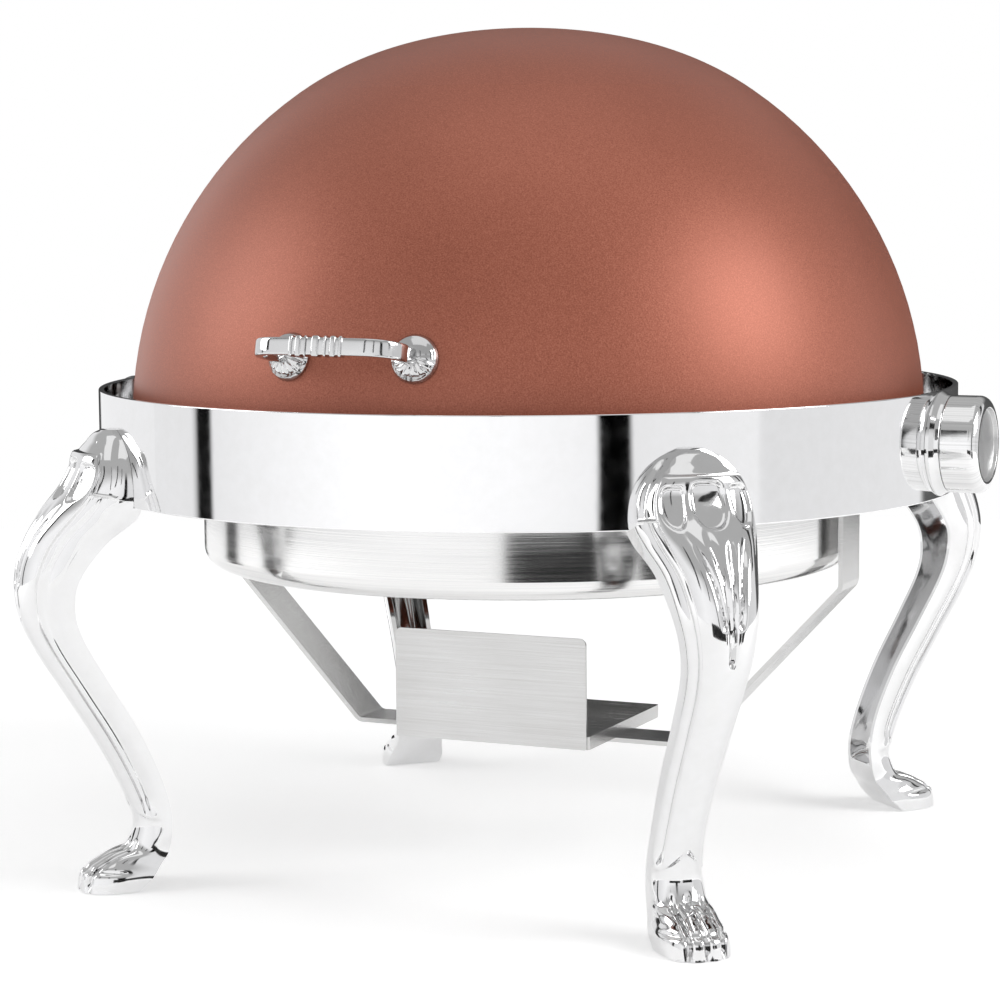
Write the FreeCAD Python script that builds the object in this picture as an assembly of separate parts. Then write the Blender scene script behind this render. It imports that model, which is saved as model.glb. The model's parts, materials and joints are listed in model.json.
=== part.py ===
import FreeCAD, Part
import math
import os

# Round roll top chafer: a polished band on four cast legs carries a lid that rolls about the X axis
# between two side hubs. A strap bracket hangs from the same two pivots and holds the water pan's
# support ring above and the fuel tray below, inside the sphere that the lid sweeps.
# Millimetres. The origin is on the table, on the band's vertical axis. +Z is up, +X is the right
# hub, and the handle is at the front, towards -Y.

V = FreeCAD.Vector
X_AXIS = V(1, 0, 0)
Y_AXIS = V(0, 1, 0)
Z_AXIS = V(0, 0, 1)

# ---- driving dimensions -------------------------------------------------------------------------
AXIS_Z = 226.0            # height of the lid's roll axis
SIDES = (("left", -1), ("right", 1))

BAND_R = 228.0            # outside of the band
BAND_T = 1.5
BAND_BOTTOM_Z = 198.5
BAND_TOP_Z = 252.5
BAND_HEM_H = 7.0          # folded hem along both edges of the band
BAND_EDGE_R = 0.6
CAST_SEAT_R = BAND_R + 0.05       # legs and hubs are bored to this where they meet the band

DOME_R = 210.5            # outside of the lid
DOME_T = 1.0
DOME_Z = 233.0            # height of the dome's own centre, a little above the roll axis
CROWN_DROP = 4.2          # the crown is flattened by this much at its centre
CROWN_REACH = 120.0       # radius inside which the crown is flattened
RIM_Z = 216.0             # lower edge of the closed lid
RIM_HEM_H = 6.0

PAN_R = 174.0             # wall of the water pan
PAN_T = 0.8
PAN_BOTTOM_Z = 158.0
PAN_CORNER_R = 10.0
PAN_FLANGE_R = 188.0
FOOD_R = 164.0            # wall of the food pan
FOOD_BOTTOM_Z = 179.0
FOOD_CORNER_R = 22.0
FOOD_FLANGE_R = 184.5
REST_GAP = 0.2            # between a lift-out pan's flange and what it rests on

RING_T = 2.0
RING_INNER_R = 176.0
RING_OUTER_R = 192.0
RING_Z = 240.0            # underside of the support ring

STRAP_X = 181.0           # outer face of the strap's upright ends
STRAP_T = 2.5
STRAP_W = 28.0
STRAP_KNEE_Z = 151.0
STRAP_FOOT_X = 98.0
STRAP_BOTTOM_Z = 62.5
STRAP_TAB_X = 190.0       # outer end of the tabs that are welded under the ring
STRAP_BEND_R = 4.0
STRAP_TAB_BEND_R = 0.8

TRAY_HALF_X = 56.0
TRAY_FRONT_Y = -51.0
TRAY_BACK_Y = 49.5
TRAY_LIP_H = 7.0
TRAY_CORNER_R = 1.6
SHEET_T = 1.0
GUARD_HALF_X = 55.0
GUARD_TOP_Z = 123.5
GUARD_T = 1.2
GUARD_CORNER_R = 3.5

BOLT_R = 5.0              # pivot bolt's shank
BOLT_HEAD_R = 11.0
BOLT_HEAD_T = 2.8
BOLT_HEAD_ROUND = 2.0
BOLT_PAST_NUT = 3.0
FIT = 0.05                # radial clearance of a running or threaded fit
FAR = 20.0                # how far a cutting tool reaches past what it cuts
SLEEVE_R = 11.0           # pivot sleeve's shoulder
JOURNAL_R = 8.0           # the lid's bushings turn on this
JOURNAL_START_X = 203.5
JOURNAL_END_X = 212.5
SPACER_END_X = math.sqrt((BAND_R - BAND_T) ** 2 - SLEEVE_R ** 2)   # where its rim meets the band
WASHER_T = 1.6
BUSH_BARREL_R = 10.0
BUSH_FLANGE_R = 13.0
BUSH_FLANGE_T = 1.5
BUSH_FLANGE_GAP = 0.1     # between the bush's flange and the lid
BUSH_INNER_X = 206.4
PLATE_OUTER_R = 209.3     # curved plate that stiffens the lid round each pivot
PLATE_T = 2.0
PLATE_HALF_ANGLE = 7.0
PLATE_BOTTOM_Z = 205.0
PLATE_TOP_Z = 240.0
PLATE_LOW_CORNER_R = 9.0
PLATE_TOP_CORNER_R = 3.0
PLATE_RIVET_Y = 19.0
PLATE_RIVET_ZS = (AXIS_Z - 9.0, AXIS_Z + 5.0)
RIVET_R = 1.6
RIVET_HEAD_R = 3.0
RIVET_HEAD_T = 0.9
RIVET_SEAT_GAP = 0.1      # the flat tail clears the plate's curve at its rim

HUB_BASE_R = 26.5
HUB_R = 24.5
HUB_SEAM_X = 233.0
HUB_FACE_X = 252.0
HUB_DISH_R = 18.6
HUB_DISH_DEPTH = 2.2
HUB_EDGE_R = 5.0
HUB_BORE_R = 15.0         # room inside the cap for the nut
HUB_BORE_END_X = 246.0
HUB_NECK_X = BAND_R + 2.8         # the base is widest on the band and narrows to here
HUB_NECK_R = HUB_R + 0.4
HUB_CAP_GAP = 0.1                 # the seam between base and cap
NUT_ACROSS_FLATS = 17.0
NUT_T = 7.0

HANDLE_ELEVATION = 12.2   # degrees above the dome's centre, at the front
HANDLE_HALF_SPAN = 9.1    # degrees from the handle's middle to each rosette
HANDLE_REACH = 32.0       # from the dome to the middle of the bar
HANDLE_BAR_H = 8.2
HANDLE_BAR_T = 4.6
HANDLE_BEND_R = 8.0
HANDLE_BEAD_ANGLES = (-3.0, -2.1, -1.2, 0.0, 1.2, 2.1, 3.0)
HANDLE_BEAD_T = 1.5
HANDLE_BEAD_PROUD = 0.6
ROSETTE_R = 11.8
ROSETTE_H = 6.5
ROSETTE_SEAT_H = ROSETTE_H - 1.5   # the bar stands on this flat
HANDLE_SCREW_R = 2.5
HANDLE_SCREW_END = 13.0   # beyond the dome
HANDLE_THREAD_R = HANDLE_SCREW_R * 0.8
HANDLE_SCREW_HEAD_R = 4.5
HANDLE_SCREW_HEAD_T = 3.0
HANDLE_WASHER_R = 5.5
HANDLE_WASHER_T = 1.0

LEG_SPREAD = 47.0         # degrees from the roll axis to each leg
LEG_ANGLES = (("front_left", LEG_SPREAD - 180), ("front_right", -LEG_SPREAD),
              ("rear_left", 180 - LEG_SPREAD), ("rear_right", LEG_SPREAD))
LEG_SCREW_ZS = (214.0, 228.5)   # clear of the band's lower hem
LEG_SCREW_R = 3.0
LEG_SCREW_END_R = 240.0
LEG_SCREW_HEAD_R = 5.5
LEG_SCREW_HEAD_T = 3.2
LEG_SCREW_HEAD_ROUND = 1.6
LEG_WASHER_R = 6.5
LEG_WASHER_T = 1.2
FLAT_SEAT_GAP = 0.25      # a flat washer stands this far off a curved wall at its middle
LEG_WALL = 3.4
LEG_FULLNESS = 0.72       # 1 gives a half ellipse, less gives squarer shoulders
LEG_ARC_STEPS = 8
HOLLOW_STATIONS = (6, 15)
# Outer radius and height, inner radius and height, half width, from the head to the sole.
LEG_STATIONS = (
    (234.0, 236.0, 222.0, 236.0, 7.0),
    (242.0, 231.5, 222.0, 231.0, 17.0),
    (248.0, 224.0, 222.0, 223.0, 24.5),
    (250.0, 216.0, 222.0, 213.0, 28.8),
    (256.0, 206.0, 222.0, 201.0, 29.8),
    (266.0, 195.0, 224.5, 192.0, 27.0),
    (275.0, 181.0, 239.0, 179.5, 22.0),
    (280.0, 163.0, 251.5, 162.0, 18.6),
    (278.5, 143.5, 253.5, 147.0, 15.6),
    (270.5, 125.0, 249.5, 132.0, 13.8),
    (256.0, 101.5, 237.0, 109.5, 12.8),
    (240.5, 76.0, 221.5, 83.0, 12.2),
    (229.0, 53.5, 210.5, 58.5, 12.0),
    (223.3, 38.0, 205.5, 40.0, 12.8),
    (222.8, 29.0, 205.5, 28.0, 13.6),
    (227.0, 20.5, 207.5, 19.0, 14.0),
    (240.0, 15.5, 210.0, 13.0, 15.2),
    (249.5, 9.5, 213.0, 7.0, 17.0),
    (251.5, 0.0, 216.5, 0.0, 17.2),
)

REST_PAD_Y = -211.0       # pad that the closed lid's front edge comes down on
REST_PAD_R = 6.0
REST_PAD_GAP = 0.3
REST_PAD_H = 5.0
REST_TAB_HALF_X = 10.0
REST_TAB_T = 1.5
REST_TAB_TOP_Z = 232.0
REST_TAB_WELD_GAP = 0.25  # the flat tab stands off the band's curve at its middle
REST_PAD_EDGE_R = 1.5

os.makedirs("parts", exist_ok=True)


# ---- helpers ------------------------------------------------------------------------------------
def save(name, solids):
    """Writes one node: a single solid, or a group of separate identical solids."""
    shape = solids[0] if len(solids) == 1 else Part.makeCompound(solids)
    for solid in solids:
        if not solid.isValid() or solid.Volume <= 0 or len(solid.Solids) != 1:
            print("CHECK", name, solid.isValid(), solid.Volume, len(solid.Solids))
    shape.exportStep("parts/%s.step" % name)


def one(shape):
    """The single solid of a boolean's result."""
    return shape.Solids[0] if len(shape.Solids) == 1 else shape


def rounded_wire(corners, place):
    """A closed wire through corners (a, b, radius), each corner cut by a tangent arc of its radius."""
    starts, ends, mids = [], [], []
    count = len(corners)
    for i, (a, b, radius) in enumerate(corners):
        here = V(a, b, 0)
        before = V(corners[i - 1][0], corners[i - 1][1], 0)
        after = V(corners[(i + 1) % count][0], corners[(i + 1) % count][1], 0)
        if radius <= 0:
            starts.append(here)
            ends.append(here)
            mids.append(None)
            continue
        to_before = (before - here).normalize()
        to_after = (after - here).normalize()
        half = to_before.getAngle(to_after) / 2
        cut = radius / math.tan(half)
        middle = (to_before + to_after).normalize()
        starts.append(here + to_before * cut)
        ends.append(here + to_after * cut)
        mids.append(here + middle * (radius / math.sin(half) - radius))
    edges = []
    for i in range(count):
        if mids[i] is not None:
            edges.append(Part.Arc(place(starts[i]), place(mids[i]), place(ends[i])).toShape())
        following = starts[(i + 1) % count]
        if (following - ends[i]).Length > 1e-6:
            edges.append(Part.LineSegment(place(ends[i]), place(following)).toShape())
    return Part.Wire(edges)


def in_xz(p):
    """A profile's (a, b) as a point of the XZ plane."""
    return V(p.x, 0, p.y)


def turned(corners):
    """A solid of revolution about Z from a closed (radius, height, corner radius) profile."""
    return Part.Face(rounded_wire(corners, in_xz)).revolve(V(0, 0, 0), Z_AXIS, 360)


def tube_x(inner_r, outer_r, x_from, x_to, side):
    """A washer, sleeve or disc on the roll axis, between two distances from the middle."""
    start = V(side * x_from, 0, AXIS_Z)
    direction = V(side, 0, 0)
    solid = Part.makeCylinder(outer_r, x_to - x_from, start, direction)
    if inner_r > 0:
        solid = solid.cut(Part.makeCylinder(inner_r, x_to - x_from, start, direction))
    return solid


def turned_x(corners, side):
    """A solid of revolution about the roll axis from an (x, radius, corner radius) profile."""
    wire = rounded_wire(corners, lambda p: V(side * p.x, 0, AXIS_Z + p.y))
    return Part.Face(wire).revolve(V(0, 0, AXIS_Z), X_AXIS, 360)


def round_bar(radius, start, direction, length):
    return Part.makeCylinder(radius, length, start, direction)


# ---- band and lid rest --------------------------------------------------------------------------
def band_ring():
    inner = BAND_R - BAND_T
    hem = inner - BAND_T
    ring = turned((
        (BAND_R, BAND_BOTTOM_Z, BAND_EDGE_R), (BAND_R, BAND_TOP_Z, BAND_EDGE_R),
        (hem, BAND_TOP_Z, BAND_EDGE_R), (hem, BAND_TOP_Z - BAND_HEM_H, 0),
        (inner, BAND_TOP_Z - BAND_HEM_H, 0), (inner, BAND_BOTTOM_Z + BAND_HEM_H, 0),
        (hem, BAND_BOTTOM_Z + BAND_HEM_H, 0), (hem, BAND_BOTTOM_Z, BAND_EDGE_R),
    ))
    for _, side in SIDES:
        ring = ring.cut(tube_x(0, BOLT_R + FIT, hem - 2, BAND_R + 2, side))
    for _, angle in LEG_ANGLES:
        for z in LEG_SCREW_ZS:
            hole = round_bar(LEG_SCREW_R + FIT, V(hem - 2, 0, z), X_AXIS, BAND_T + 8)
            hole.rotate(V(0, 0, 0), Z_AXIS, angle)
            ring = ring.cut(hole)
    return one(ring)


def lid_rest():
    """The welded angle inside the band's front, and the soft pad on it."""
    pad_top = RIM_Z - REST_PAD_GAP
    shelf_top = pad_top - REST_PAD_H
    back_y = -(BAND_R - BAND_T) + REST_TAB_WELD_GAP
    shelf_end = REST_PAD_Y + REST_PAD_R + 1
    upright = Part.makeBox(2 * REST_TAB_HALF_X, REST_TAB_T, REST_TAB_TOP_Z - shelf_top + REST_TAB_T,
                           V(-REST_TAB_HALF_X, back_y, shelf_top - REST_TAB_T))
    shelf = Part.makeBox(2 * REST_TAB_HALF_X, shelf_end - back_y, REST_TAB_T,
                         V(-REST_TAB_HALF_X, back_y, shelf_top - REST_TAB_T))
    pad = round_bar(REST_PAD_R, V(0, REST_PAD_Y, shelf_top), Z_AXIS, REST_PAD_H)
    pad = pad.makeFillet(REST_PAD_EDGE_R, [e for e in pad.Edges if abs(e.BoundBox.ZMin - pad_top) < 1e-6])
    return one(upright.fuse(shelf).removeSplitter()), pad


# ---- legs ---------------------------------------------------------------------------------------
def leg_section(station, inset, back):
    """A D-shaped section: flat across the back, rounded over the front."""
    outer_r, outer_z, inner_r, inner_z, half_width = station
    inner = V(inner_r, 0, inner_z)
    depth = V(outer_r, 0, outer_z) - inner
    out = V(depth).normalize()
    height = depth.Length - inset
    width = half_width - inset
    points = []
    for i in range(LEG_ARC_STEPS + 1):
        angle = math.pi * i / LEG_ARC_STEPS
        across = math.copysign(abs(math.cos(angle)) ** LEG_FULLNESS, math.cos(angle)) * width
        up = math.sin(angle) ** LEG_FULLNESS * (height + back) - back
        points.append(inner + out * up + Y_AXIS * across)
    curve = Part.BSplineCurve()
    curve.interpolate(points)
    return Part.Wire([curve.toShape(), Part.LineSegment(points[-1], points[0]).toShape()])


def leg():
    """One cast leg on +X: a round head on the band, a cabriole curve and a paw foot, open at the back."""
    body = Part.makeLoft([leg_section(s, 0, 0) for s in LEG_STATIONS], True, False)
    first, last = HOLLOW_STATIONS
    hollow = Part.makeLoft([leg_section(s, LEG_WALL, 3) for s in LEG_STATIONS[first:last]], True, False)
    body = body.cut(hollow)
    seat = Part.makeCylinder(CAST_SEAT_R, BAND_TOP_Z - BAND_BOTTOM_Z + 1, V(0, 0, BAND_BOTTOM_Z - 0.1))
    body = body.cut(seat)
    for z in LEG_SCREW_ZS:
        body = body.cut(round_bar(LEG_SCREW_R + FIT, V(BAND_R - 2, 0, z), X_AXIS,
                                  LEG_SCREW_END_R - BAND_R + 3))
    return max(body.Solids, key=lambda solid: solid.Volume)


def leg_fastener(z):
    """A pan head screw from inside the band into the leg's head, and its washer, on +X."""
    washer_face = BAND_R - BAND_T - FLAT_SEAT_GAP
    head_top = washer_face - LEG_WASHER_T
    washer = round_bar(LEG_WASHER_R, V(head_top, 0, z), X_AXIS, LEG_WASHER_T)
    washer = washer.cut(round_bar(LEG_SCREW_R + FIT, V(head_top, 0, z), X_AXIS, LEG_WASHER_T))
    shank = round_bar(LEG_SCREW_R, V(head_top, 0, z), X_AXIS, LEG_SCREW_END_R - head_top)
    head_low = head_top - LEG_SCREW_HEAD_T
    head = round_bar(LEG_SCREW_HEAD_R, V(head_low, 0, z), X_AXIS, LEG_SCREW_HEAD_T)
    head = head.makeFillet(LEG_SCREW_HEAD_ROUND, [e for e in head.Edges if e.BoundBox.XMax < head_low + 0.1])
    return one(head.fuse(shank)), washer


# ---- pivots -------------------------------------------------------------------------------------
def hub_base(side):
    base = turned_x((
        (BAND_R - 4, BOLT_R + FIT, 0), (HUB_SEAM_X, BOLT_R + FIT, 0), (HUB_SEAM_X, HUB_R, 0.5),
        (HUB_NECK_X, HUB_NECK_R, 1.5), (BAND_R + 0.4, HUB_BASE_R, 0), (BAND_R - 4, HUB_BASE_R, 0),
    ), side)
    return one(base.cut(Part.makeCylinder(CAST_SEAT_R, 200, V(0, 0, AXIS_Z - 100))))


def hub_cap(side):
    """A deep polished cap with a rounded rim and a dished brushed face, hollow round the nut."""
    return turned_x((
        (HUB_SEAM_X + HUB_CAP_GAP, HUB_BORE_R, 0), (HUB_SEAM_X + HUB_CAP_GAP, HUB_R, 0.8),
        (HUB_FACE_X, HUB_R, HUB_EDGE_R), (HUB_FACE_X, HUB_DISH_R, 0.5),
        (HUB_FACE_X - HUB_DISH_DEPTH, HUB_DISH_R - 0.8, 0.8), (HUB_FACE_X - HUB_DISH_DEPTH, 0, 0),
        (HUB_BORE_END_X, 0, 0), (HUB_BORE_END_X, HUB_BORE_R, 1.0),
    ), side)


def pivot_bolt(side):
    """A low round head inside the strap, and a shank that ends in the nut under the hub cap."""
    inner_face = STRAP_X - STRAP_T
    end = HUB_SEAM_X + NUT_T + BOLT_PAST_NUT
    return turned_x((
        (inner_face - BOLT_HEAD_T, 0, 0), (inner_face - BOLT_HEAD_T, BOLT_HEAD_R, BOLT_HEAD_ROUND),
        (inner_face, BOLT_HEAD_R, 0), (inner_face, BOLT_R, 0), (end, BOLT_R, 1.0), (end, 0, 0),
    ), side)


def pivot_nut(side):
    corner_r = NUT_ACROSS_FLATS / math.sqrt(3)
    corners = [V(side * HUB_SEAM_X, corner_r * math.cos(math.radians(60 * i)),
                 AXIS_Z + corner_r * math.sin(math.radians(60 * i))) for i in range(7)]
    nut = Part.Face(Part.makePolygon(corners)).extrude(V(side * NUT_T, 0, 0))
    return one(nut.cut(tube_x(0, BOLT_R + FIT, HUB_SEAM_X - 1, HUB_SEAM_X + NUT_T + 1, side)))


def pivot_sleeve(side):
    """A stepped sleeve on the bolt: its shoulder spaces the strap, its journal carries the lid."""
    return turned_x((
        (STRAP_X, BOLT_R + FIT, 0), (STRAP_X, SLEEVE_R, 0.6), (JOURNAL_START_X, SLEEVE_R, 0.6),
        (JOURNAL_START_X, JOURNAL_R, 0), (JOURNAL_END_X, JOURNAL_R, 0.3), (JOURNAL_END_X, BOLT_R + FIT, 0),
    ), side)


def bushing(side):
    """A flanged nylon bush in the lid, turning on the sleeve's journal."""
    flange_x = DOME_R + BUSH_FLANGE_GAP
    return turned_x((
        (BUSH_INNER_X, JOURNAL_R + FIT, 0), (BUSH_INNER_X, BUSH_BARREL_R, 0.3),
        (flange_x, BUSH_BARREL_R, 0), (flange_x, BUSH_FLANGE_R, 0.3),
        (flange_x + BUSH_FLANGE_T, BUSH_FLANGE_R, 0.3), (flange_x + BUSH_FLANGE_T, JOURNAL_R + FIT, 0),
    ), side)


def plate_rivet_spots(side):
    """Each rivet's foot on the roll axis plane and its outward direction, square to the lid's skirt."""
    spots = []
    for y in (-PLATE_RIVET_Y, PLATE_RIVET_Y):
        angle = math.asin(y / DOME_R)
        for z in PLATE_RIVET_ZS:
            out = V(side * math.cos(angle), math.sin(angle), 0)
            spots.append((V(0, 0, z), out))
    return spots


def pivot_plate(side):
    """A curved plate inside the lid's skirt round the pivot, with rounded lower corners."""
    height = PLATE_TOP_Z - PLATE_BOTTOM_Z
    low = V(0, 0, PLATE_BOTTOM_Z)
    shell = Part.makeCylinder(PLATE_OUTER_R, height, low).cut(
        Part.makeCylinder(PLATE_OUTER_R - PLATE_T, height, low))
    half_y = PLATE_OUTER_R * math.sin(math.radians(PLATE_HALF_ANGLE))
    outline = rounded_wire((
        (-half_y, PLATE_BOTTOM_Z, PLATE_LOW_CORNER_R), (half_y, PLATE_BOTTOM_Z, PLATE_LOW_CORNER_R),
        (half_y, PLATE_TOP_Z, PLATE_TOP_CORNER_R), (-half_y, PLATE_TOP_Z, PLATE_TOP_CORNER_R),
    ), lambda p: V(side * (PLATE_OUTER_R - 12), p.x, p.y))
    plate = shell.common(Part.Face(outline).extrude(V(side * 20, 0, 0)))
    plate = plate.cut(tube_x(0, BUSH_BARREL_R + FIT, PLATE_OUTER_R - 12, DOME_R + 4, side))
    for foot, out in plate_rivet_spots(side):
        plate = plate.cut(round_bar(RIVET_R, foot + out * (PLATE_OUTER_R - 12), out, FAR))
    return one(plate)


def plate_rivets(side):
    rivets = []
    for foot, out in plate_rivet_spots(side):
        tail_top = PLATE_OUTER_R - PLATE_T - RIVET_SEAT_GAP
        tail_low = foot + out * (tail_top - RIVET_HEAD_T)
        shank = round_bar(RIVET_R, tail_low, out, DOME_R - tail_top + RIVET_HEAD_T)
        tail = round_bar(RIVET_HEAD_R, tail_low, out, RIVET_HEAD_T)
        head = round_bar(RIVET_HEAD_R, foot + out * DOME_R, out, RIVET_HEAD_T)
        rivets.append(one(shank.fuse([tail, head])))
    return rivets


# ---- lid and handle -----------------------------------------------------------------------------
def crown_height(radius, sphere_r):
    """Height of the dome's skin above its centre: a sphere with a slightly flattened crown."""
    drop = CROWN_DROP * max(0.0, 1 - (radius / CROWN_REACH) ** 2) ** 2
    return math.sqrt(sphere_r ** 2 - radius ** 2) - drop


def meridian(sphere_r):
    """Edges of the dome's half outline, from the crown to the level of the dome's centre."""
    steps = 8
    points = []
    for i in range(steps + 1):
        r = CROWN_REACH * i / steps
        points.append(V(r, 0, DOME_Z + crown_height(r, sphere_r)))
    end = points[-1]
    slope = V(end.z - DOME_Z, 0, -end.x).normalize()
    crown = Part.BSplineCurve()
    crown.interpolate(Points=points, InitialTangent=X_AXIS, FinalTangent=slope)
    middle = (math.asin(end.x / sphere_r) + math.pi / 2) / 2
    on_arc = V(sphere_r * math.sin(middle), 0, DOME_Z + sphere_r * math.cos(middle))
    return [crown.toShape(), Part.Arc(end, on_arc, V(sphere_r, 0, DOME_Z)).toShape()]


def handle_front():
    """The outward direction from the dome's centre through the handle's middle."""
    lift = math.radians(HANDLE_ELEVATION)
    return V(0, -math.cos(lift), math.sin(lift))


def handle_out(angle):
    """The outward direction in the handle's plane, by the degrees from its middle."""
    swing = math.radians(angle)
    return X_AXIS * math.sin(swing) + handle_front() * math.cos(swing)


def rosette_out(side):
    return handle_out(side * HANDLE_HALF_SPAN)


def lid_dome():
    inner_r = DOME_R - DOME_T
    hem_r = inner_r - DOME_T
    outer = meridian(DOME_R)
    inner = meridian(inner_r)
    top_gap = Part.LineSegment(V(0, 0, DOME_Z + crown_height(0, inner_r)),
                               V(0, 0, DOME_Z + crown_height(0, DOME_R))).toShape()
    skirt = [V(DOME_R, 0, DOME_Z), V(DOME_R, 0, RIM_Z), V(hem_r, 0, RIM_Z), V(hem_r, 0, RIM_Z + RIM_HEM_H),
             V(inner_r, 0, RIM_Z + RIM_HEM_H), V(inner_r, 0, DOME_Z)]
    lines = [Part.LineSegment(a, b).toShape() for a, b in zip(skirt, skirt[1:])]
    wire = Part.Wire(Part.__sortEdges__(outer + lines + inner + [top_gap]))
    dome = Part.Face(wire).revolve(V(0, 0, 0), Z_AXIS, 360)
    for _, side in SIDES:
        dome = dome.cut(tube_x(0, BUSH_BARREL_R + FIT, hem_r - 6, DOME_R + 2, side))
        # The hem is notched where the pivot plate hangs below the rim.
        notch = Part.makeBox(8, 60, 20, V(side * (PLATE_OUTER_R - 4) - 4, -30, RIM_Z - 10))
        inside = Part.makeCylinder(inner_r, 20, V(0, 0, RIM_Z - 10))
        dome = dome.cut(notch.common(inside))
        for foot, out in plate_rivet_spots(side):
            dome = dome.cut(round_bar(RIVET_R, foot + out * (hem_r - 6), out, FAR))
        out = rosette_out(side)
        dome = dome.cut(round_bar(HANDLE_SCREW_R + FIT, V(0, 0, DOME_Z) + out * (inner_r - 3), out, FAR / 2))
    return one(dome)


def bar_section(centre, along, up, height, thickness):
    """A rounded rectangular section square to the bar."""
    across = along.cross(up)
    corner = thickness * 0.32
    corners = [(a * thickness / 2, b * height / 2, corner) for a, b in ((-1, -1), (1, -1), (1, 1), (-1, 1))]
    return rounded_wire(corners, lambda p: centre + across * p.x + up * p.y)


def handle_point(angle, reach):
    """A point of the handle's plane: degrees from its middle, and distance from the dome."""
    return V(0, 0, DOME_Z) + handle_out(angle) * (DOME_R + reach)


def handle_bar():
    """A bow: a foot out of each rosette, a round bend, and a bar that follows the dome."""
    lift = math.radians(HANDLE_ELEVATION)
    up = V(0, math.sin(lift), math.cos(lift))
    bend = math.degrees(HANDLE_BEND_R / (DOME_R + HANDLE_REACH))
    low = HANDLE_REACH - HANDLE_BEND_R
    corner = HANDLE_BEND_R * (1 - math.sqrt(0.5))
    corner_angle = math.degrees(corner / (DOME_R + HANDLE_REACH))
    edges = []
    for side in (-1, 1):
        foot = handle_point(side * HANDLE_HALF_SPAN, ROSETTE_SEAT_H)
        knee_low = handle_point(side * HANDLE_HALF_SPAN, low)
        knee_mid = handle_point(side * (HANDLE_HALF_SPAN - corner_angle), HANDLE_REACH - corner)
        knee_top = handle_point(side * (HANDLE_HALF_SPAN - bend), HANDLE_REACH)
        post = Part.LineSegment(foot, knee_low).toShape()
        bend_arc = Part.Arc(knee_low, knee_mid, knee_top).toShape()
        edges.append((post, bend_arc, knee_top))
    middle = Part.Arc(edges[0][2], handle_point(0, HANDLE_REACH), edges[1][2]).toShape()
    path = Part.Wire([edges[0][0], edges[0][1], middle, edges[1][1], edges[1][0]])
    shell = Part.BRepOffsetAPI.MakePipeShell(path)
    shell.setBiNormalMode(up)
    first_foot = handle_point(-HANDLE_HALF_SPAN, ROSETTE_SEAT_H)
    shell.add(bar_section(first_foot, rosette_out(-1), up, HANDLE_BAR_H, HANDLE_BAR_T))
    shell.build()
    shell.makeSolid()
    bar = shell.shape()
    proud = 2 * HANDLE_BEAD_PROUD
    for angle in HANDLE_BEAD_ANGLES:
        centre = handle_point(angle, HANDLE_REACH)
        swing = math.radians(angle)
        along = (X_AXIS * math.cos(swing) - handle_front() * math.sin(swing)).normalize()
        section = bar_section(centre - along * (HANDLE_BEAD_T / 2), along, up,
                              HANDLE_BAR_H + proud, HANDLE_BAR_T + proud)
        bar = bar.fuse(Part.Face(section).extrude(along * HANDLE_BEAD_T))
    for side in (-1, 1):
        out = rosette_out(side)
        bar = bar.cut(round_bar(HANDLE_THREAD_R + FIT, V(0, 0, DOME_Z) + out * DOME_R, out,
                                HANDLE_SCREW_END + 0.5))
        bar = bar.cut(handle_rosette(side))
    return one(bar)


def handle_rosette(side):
    """A domed rosette between the lid and the bar's foot, hollowed to sit on the dome."""
    profile = ((HANDLE_SCREW_R + FIT, -2, 0), (ROSETTE_R, -2, 0), (ROSETTE_R, 1.4, 0.5),
               (ROSETTE_R - 2.2, 2.6, 1.5), (ROSETTE_R - 4.5, ROSETTE_SEAT_H, 2.0),
               (HANDLE_SCREW_R + FIT, ROSETTE_SEAT_H, 0))
    rosette = Part.Face(rounded_wire(profile, in_xz)).revolve(V(0, 0, 0), Z_AXIS, 360)
    out = rosette_out(side)
    turn = FreeCAD.Rotation(Z_AXIS, out)
    rosette.Placement = FreeCAD.Placement(V(0, 0, DOME_Z) + out * DOME_R, turn)
    return one(rosette.cut(Part.makeSphere(DOME_R + FIT, V(0, 0, DOME_Z))))


def handle_fastener(side):
    """The screw from inside the lid, through the rosette into the bar's foot, and its washer."""
    out = rosette_out(side)
    centre = V(0, 0, DOME_Z)
    face = DOME_R - DOME_T - FLAT_SEAT_GAP
    washer_low = face - HANDLE_WASHER_T
    head_low = washer_low - HANDLE_SCREW_HEAD_T
    washer = round_bar(HANDLE_WASHER_R, centre + out * washer_low, out, HANDLE_WASHER_T)
    washer = washer.cut(round_bar(HANDLE_SCREW_R + FIT, centre + out * washer_low, out, HANDLE_WASHER_T))
    head = round_bar(HANDLE_SCREW_HEAD_R, centre + out * head_low, out, HANDLE_SCREW_HEAD_T)
    neck = round_bar(HANDLE_SCREW_R, centre + out * washer_low, out, HANDLE_SCREW_HEAD_T + ROSETTE_SEAT_H)
    neck = neck.common(Part.makeSphere(DOME_R + ROSETTE_SEAT_H - 2 * FIT, centre))
    shank = round_bar(HANDLE_THREAD_R, centre + out * face, out, DOME_R - face + HANDLE_SCREW_END)
    return one(head.fuse([neck, shank])), washer


# ---- pans, ring, strap and fuel tray ------------------------------------------------------------
def pan(wall_r, bottom_z, corner_r, flange_z, flange_r):
    """A round deep-drawn pan: a flat floor, a rounded corner, a wall and a flat flange."""
    t = PAN_T
    return turned((
        (0, bottom_z, 0), (wall_r, bottom_z, corner_r), (wall_r, flange_z, 0.6),
        (flange_r, flange_z, 0.3), (flange_r, flange_z + t, 0.3), (wall_r - t, flange_z + t, 1.4),
        (wall_r - t, bottom_z + t, corner_r - t), (0, bottom_z + t, 0),
    ))


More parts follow.
